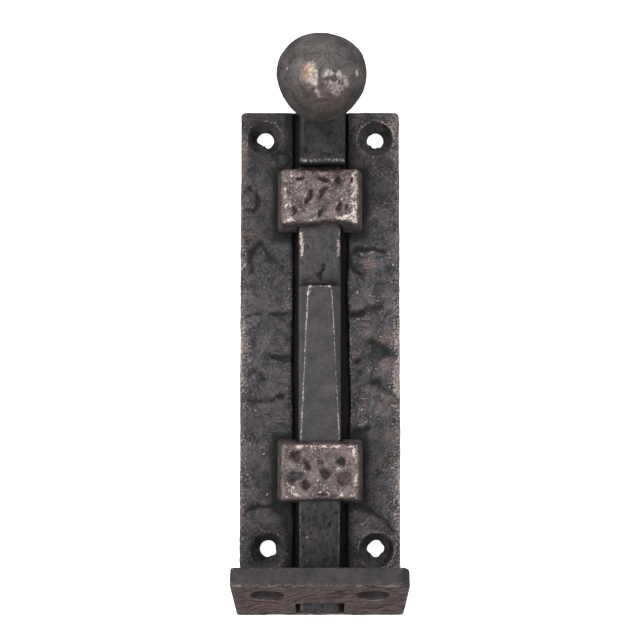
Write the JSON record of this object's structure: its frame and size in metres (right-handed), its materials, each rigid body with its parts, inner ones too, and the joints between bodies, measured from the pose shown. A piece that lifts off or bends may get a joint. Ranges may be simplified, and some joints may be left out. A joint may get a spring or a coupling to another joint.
{
  "type": "barrel bolt",
  "caption": "Small hand-forged surface bolt: a flat bar with a thumb wedge and ball knob slides under two straps on a back plate; its tip stands in a loose slotted strike plate.",
  "frame": {"origin": "centre of the back plate's back face, which lies on the door", "axes": "+X to the right, +Y along the bar from its tip towards the knob, +Z out of the door towards the user"},
  "size_m": [0.0364, 0.1198, 0.0395],
  "materials": {
    "plate_iron": "hammered, blackened and waxed",
    "strap_iron": "hammered, rubbed bright on the high spots",
    "bar_iron": "filed, blackened",
    "knob_iron": "blackened, worn bright on the front",
    "strike_iron": "forged, blackened",
    "spring_steel": "blued spring steel"
  },
  "bodies": {
    "mounting": {"back_plate": "plate_iron", "upper_strap": "strap_iron", "lower_strap": "strap_iron", "friction_spring": "spring_steel", "spring_rivet": "spring_steel"},
    "bolt": {"bolt_bar": "bar_iron", "knob": "knob_iron"},
    "strike": {"strike_plate": "strike_iron"}
  },
  "joints": [
    {"name": "bolt_slide", "type": "slide", "parent": "mounting", "child": "bolt", "axis": [0, 1, 0], "range_m": [0, 0.0115]},
    {"name": "strike_pull_off", "type": "slide", "parent": "mounting", "child": "strike", "axis": [0, -1, 0], "range_m": [0, 0.02]}
  ]
}
